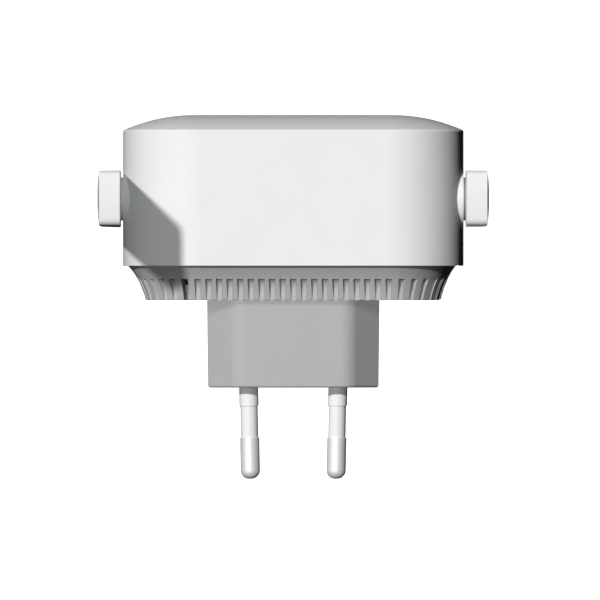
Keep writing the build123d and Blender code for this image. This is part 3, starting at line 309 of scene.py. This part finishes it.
def moulded_plastic(name, color, roughness, grain_mm=0.35, depth_mm=0.012, mottle=0.03):
    """Injection moulded plastic with a spark-eroded grain and a faint flow mottle."""
    surface = Surface(name, color, roughness)
    surface.set("Specular IOR Level", PLASTIC_SPECULAR)
    grain = surface.noise(grain_mm, detail=3.0)
    surface.bump(grain, depth_mm)
    surface.vary_color(surface.noise(FLOW_MARK_MM), mottle)
    smoothest = roughness - PLASTIC_ROUGHNESS_SPREAD
    roughest = roughness + PLASTIC_ROUGHNESS_SPREAD
    surface.vary_roughness(surface.noise(HANDLING_MM), smoothest, roughest)
    return surface


def plated_metal(name, color, roughness, grain_mm=1.2, stretch=EVEN, depth_mm=0.004):
    """Plated or drawn metal with fine scratches and slightly uneven shine."""
    surface = Surface(name, color, roughness, metallic=1.0)
    streaks = surface.noise(grain_mm, detail=4.0, stretch=stretch)
    surface.bump(streaks, depth_mm)
    surface.vary_color(surface.noise(TARNISH_MM), TARNISH)
    surface.vary_roughness(streaks, roughness * BRUSHED_SMOOTHEST, roughness * BRUSHED_ROUGHEST)
    return surface


def satin_pin(name, color):
    """Matt satin nickel: pale and low in contrast, with fine turning lines along its axis."""
    surface = Surface(name, color, 0.55, metallic=0.35)
    surface.set("Specular IOR Level", PLASTIC_SPECULAR)
    lines = surface.noise(0.5, detail=3.0, stretch=(0.3, 3.0, 0.3))
    surface.bump(lines, 0.003)
    surface.vary_color(surface.noise(2.0), 0.04)
    surface.vary_roughness(lines, 0.48, 0.62)
    return surface


def solder_mask(name, color, copper):
    """Board lacquer over copper tracks, which show as slightly lighter raised lanes."""
    surface = Surface(name, color, 0.28)
    lanes = surface.tree.nodes.new("ShaderNodeTexBrick")
    lanes.inputs["Scale"].default_value = TRACK_SCALE
    lanes.inputs["Mortar Size"].default_value = TRACK_GAP
    lanes.inputs["Color1"].default_value = (*color, 1.0)
    lanes.inputs["Color2"].default_value = (*[c * TRACK_SHADE for c in color], 1.0)
    lanes.inputs["Mortar"].default_value = (*copper, 1.0)
    turned = surface.tree.nodes.new("ShaderNodeMapping")
    turned.inputs["Rotation"].default_value = (math.pi / 2, 0.0, 0.0)
    surface.link(surface.place, turned.inputs["Vector"])
    surface.link(turned.outputs["Vector"], lanes.inputs["Vector"])
    surface.link(lanes.outputs["Color"], surface.shader.inputs["Base Color"])
    surface.bump(lanes.outputs["Fac"], 0.02)
    surface.bump(surface.noise(0.8), 0.01)
    surface.set("Coat Weight", 0.4)
    return surface


WHITE = (0.88, 0.88, 0.875)
GREY = (0.475, 0.475, 0.475)

surfaces = {
    "housing_white": moulded_plastic("white_housing", WHITE, 0.42, depth_mm=0.006, mottle=0.02),
    "antenna_white": moulded_plastic("white_antenna", WHITE, 0.40, depth_mm=0.006, mottle=0.02),
    "button_white": moulded_plastic("white_button", WHITE, 0.30, depth_mm=0.003, mottle=0.02),
    "sleeve_white": moulded_plastic("white_sleeve", WHITE, 0.36, depth_mm=0.003, mottle=0.02),
    "cover_grey": moulded_plastic("grey_cover", GREY, 0.50, mottle=0.03),
    "plug_grey": moulded_plastic("grey_plug", GREY, 0.50, mottle=0.03),
    "pin_metal": satin_pin("satin_nickel_pin", (0.93, 0.93, 0.92)),
    "strip_brass": plated_metal("brass_strip", (0.72, 0.58, 0.30), 0.30),
    "screw_steel": plated_metal("zinc_screw", (0.50, 0.50, 0.52), 0.35),
    "label_silver": moulded_plastic("rating_film", (0.70, 0.71, 0.72), 0.35, grain_mm=0.2, depth_mm=0.002),
    "power_board_blue": solder_mask("power_board_mask", (0.01, 0.11, 0.36), (0.03, 0.20, 0.48)),
    "main_board_blue": solder_mask("main_board_mask", (0.01, 0.13, 0.40), (0.03, 0.24, 0.55)),
    "capacitor_sleeve": moulded_plastic("capacitor_sleeve", (0.03, 0.04, 0.07), 0.25, depth_mm=0.004),
    "ferrite": moulded_plastic("ferrite", (0.06, 0.06, 0.065), 0.6, grain_mm=0.25, depth_mm=0.03),
    "bobbin_black": moulded_plastic("bobbin", (0.04, 0.04, 0.04), 0.45),
    "winding_tape": moulded_plastic(
        "polyester_tape", (0.78, 0.62, 0.06), 0.25, grain_mm=1.5, depth_mm=0.03
    ),
    "package_black": moulded_plastic("epoxy_package", (0.025, 0.025, 0.027), 0.55, grain_mm=0.15),
    "resistor_body": moulded_plastic("resistor_lacquer", (0.10, 0.34, 0.22), 0.35),
    "choke_winding": plated_metal(
        "enamelled_wire",
        (0.60, 0.26, 0.10),
        0.30,
        grain_mm=0.4,
        stretch=(0.2, 1.0, 0.2),
        depth_mm=0.05,
    ),
    "header_black": moulded_plastic("header_body", (0.03, 0.03, 0.03), 0.45),
    "film_clear": moulded_plastic("insulating_film", (0.72, 0.72, 0.68), 0.35, grain_mm=2.0, depth_mm=0.01),
    "shield_tin": plated_metal("tin_shield", (0.66, 0.66, 0.64), 0.32, stretch=(0.1, 1.0, 1.0)),
    "thermal_pad_grey": moulded_plastic("silicone_pad", (0.35, 0.42, 0.50), 0.75, depth_mm=0.03),
    "heatsink_aluminium": plated_metal(
        "blasted_aluminium", (0.76, 0.77, 0.79), 0.45, grain_mm=0.3, depth_mm=0.02
    ),
    "led_lens": moulded_plastic("led_lens", (0.90, 0.86, 0.62), 0.20, depth_mm=0.003),
    "light_pipe": moulded_plastic("light_pipe", (0.72, 0.76, 0.78), 0.18, depth_mm=0.004),
    "switch_black": moulded_plastic("switch_body", (0.035, 0.035, 0.04), 0.45),
    "switch_plunger": moulded_plastic("switch_plunger", (0.45, 0.08, 0.06), 0.40),
    "jack_black": moulded_plastic("jack_body", (0.022, 0.022, 0.024), 0.35),
    "jack_shield": plated_metal("nickel_shield", (0.72, 0.71, 0.69), 0.28, stretch=(1.0, 1.0, 0.1)),
    "contact_gold": plated_metal("gold_contact", (0.86, 0.64, 0.24), 0.22),
    "lead_black": moulded_plastic("lead_jacket", (0.03, 0.03, 0.03), 0.45),
    "radiator_board": solder_mask("radiator_mask", (0.02, 0.16, 0.08), (0.06, 0.30, 0.14)),
    "clip_steel": plated_metal("spring_steel", (0.42, 0.42, 0.45), 0.30),
}

slot_of_node = {part["node"]: part["material_slot"] for part in frame["record"]["subparts"]}
for node_name, node in frame["nodes"].items():
    material = surfaces[slot_of_node[node_name]].material
    if not node.material_slots:
        node.data.materials.append(material)
    for material_slot in node.material_slots:
        material_slot.material = material

# ---------------------------------------------------------------- small parts on the boards

CHIP_LENGTH = 1.6
CHIP_WIDTH = 0.8
CHIP_HEIGHT = 0.5
CAP_LENGTH = 0.35
CAP_PROUD = 0.03
CHIP_BEVEL = 0.06
CHIP_CHANCE = 0.62
UPRIGHT_CHANCE = 0.4
CHIP_GAP = 1.4
END_SPREAD = 1.04
BOARD_FACES = {
    "main_board_front": {"node": "main_board", "pitch": (3.4, 2.9), "margin": 7.0},
    "power_board_front": {"node": "power_board", "pitch": (4.1, 3.3), "margin": 4.5},
}
# Circles as x, z and radius, in millimetres: the screw posts and the board screws.
KEEP_OUTS = [(x, z, 4.8) for x in (-24.0, 24.0) for z in (-18.0, -62.0)]
KEEP_OUTS += [(x, z, 3.4) for x in (-14.0, 14.0) for z in (-6.0, -55.0)]
TALL_NODES = {
    "main_board_front": ["shield_can", "wps_switch_body", "reset_switch_body"],
    "power_board_front": [
        "output_capacitor",
        "transformer_bobbin",
        "bridge_rectifier",
        "fusible_resistor",
        "mains_choke",
        "board_header",
    ],
}
# More circles: the status lights on one board and the mains capacitors on the other.
CLEAR_SPOTS = {
    "main_board_front": [(x, -4.5, 2.6) for x in (-8.0, 0.0, 8.0)],
    "power_board_front": [(14.0, -1.0, 5.4), (14.0, -11.0, 5.4)],
}


def add_block(mesh, center, size):
    """Add a bevelled block, in millimetres, to a bmesh."""
    place = Matrix.Translation(Vector(center) * MM) @ Matrix.Diagonal((*[side * MM for side in size], 1.0))
    made = bmesh.ops.create_cube(mesh, size=1.0, matrix=place)
    edges = {edge for vertex in made["verts"] for edge in vertex.link_edges}
    bmesh.ops.bevel(mesh, geom=list(edges), offset=CHIP_BEVEL * MM, segments=2, affect="EDGES")


def finish_piece(name, mesh, surface_slot):
    """Turn a bmesh into a named piece that rides on the extender."""
    data = bpy.data.meshes.new(name)
    mesh.to_mesh(data)
    mesh.free()
    data.materials.append(surfaces[surface_slot].material)
    piece = bpy.data.objects.new(name, data)
    bpy.context.scene.collection.objects.link(piece)
    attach(piece, "extender")


def free_spot(x, z, face_name):
    """True where a board's face has room for a small part, in millimetres."""
    for keep_x, keep_z, radius in KEEP_OUTS + CLEAR_SPOTS[face_name]:
        if math.hypot(x - keep_x, z - keep_z) < radius:
            return False
    for node_name in TALL_NODES[face_name]:
        low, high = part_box(node_name)
        beside = low[0] / MM - CHIP_GAP < x < high[0] / MM + CHIP_GAP
        level = low[2] / MM - CHIP_GAP < z < high[2] / MM + CHIP_GAP
        if beside and level:
            return False
    return True


def add_board_chips(face_name, face):
    """Scatter small soldered parts, dark bodies with metal ends, over the free places of a board."""
    draw = random.Random(face_name)
    low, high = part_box(face["node"])
    face_y = low[1] / MM
    bodies = bmesh.new()
    ends = bmesh.new()
    step_x, step_z = face["pitch"]
    columns = int((high[0] - low[0]) / MM / step_x)
    rows = int((high[2] - low[2]) / MM / step_z)
    middle_x = (low[0] + high[0]) / 2 / MM
    for column in range(columns):
        x = middle_x + (column - (columns - 1) / 2) * step_x
        for row in range(rows):
            z = low[2] / MM + face["margin"] + row * step_z
            upright = draw.random() < UPRIGHT_CHANCE
            if draw.random() > CHIP_CHANCE or not free_spot(x, z, face_name):
                continue
            if z > high[2] / MM - face["margin"]:
                continue
            along = Vector((0.0, 0.0, 1.0)) if upright else Vector((1.0, 0.0, 0.0))
            size = Vector((CHIP_WIDTH, CHIP_HEIGHT, CHIP_WIDTH)) + along * (CHIP_LENGTH - CHIP_WIDTH)
            center = Vector((x, face_y - CHIP_HEIGHT / 2 - CAP_PROUD, z))
            add_block(bodies, center, size)
            end_size = size + Vector((2 * CAP_PROUD, 2 * CAP_PROUD, 2 * CAP_PROUD))
            end_size -= along * (CHIP_LENGTH - CAP_LENGTH + 2 * CAP_PROUD)
            reach = along * (CHIP_LENGTH - CAP_LENGTH) / 2 * END_SPREAD
            for side in (1.0, -1.0):
                add_block(ends, center + side * reach, end_size)
    finish_piece(face_name + "_chip_bodies", bodies, "package_black")
    finish_piece(face_name + "_chip_ends", ends, "shield_tin")


for board_face_name, board_face in BOARD_FACES.items():
    add_board_chips(board_face_name, board_face)
